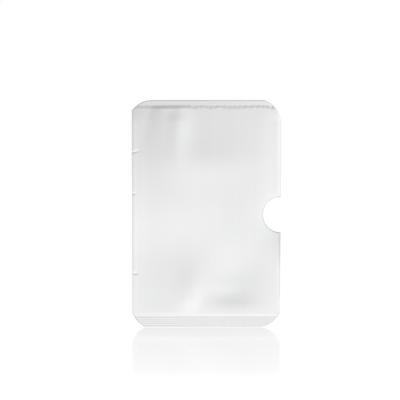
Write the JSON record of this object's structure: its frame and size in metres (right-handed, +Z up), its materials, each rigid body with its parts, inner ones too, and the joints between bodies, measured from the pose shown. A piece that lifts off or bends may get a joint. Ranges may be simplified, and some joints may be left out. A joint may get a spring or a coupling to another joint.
{
  "type": "card sleeve",
  "caption": "Flat foil-laminate sleeve for a payment card, folded at one long edge, sealed at both ends, with a half-round thumb notch at its open edge.",
  "frame": {"origin": "under the middle of the sleeve, level with the flat back wall that it lies on", "axes": "+X from the fold towards the open mouth, +Y along the long side to the top edge in the picture, and +Z up out of the front wall, the one that the picture shows"},
  "size_m": [0.061, 0.093, 0.0017],
  "materials": {
    "silver_film": "satin silver, slightly rippled",
    "foil": "satin",
    "liner": "semi-matte",
    "seal": "semi-matte"
  },
  "bodies": {
    "root": {"front_film": "silver_film", "back_film": "silver_film", "fold_film": "silver_film", "top_margin_film": "silver_film", "bottom_margin_film": "silver_film", "foil_shield": "foil", "inner_liner": "liner", "top_seal": "seal", "bottom_seal": "seal"}
  },
  "joints": []
}
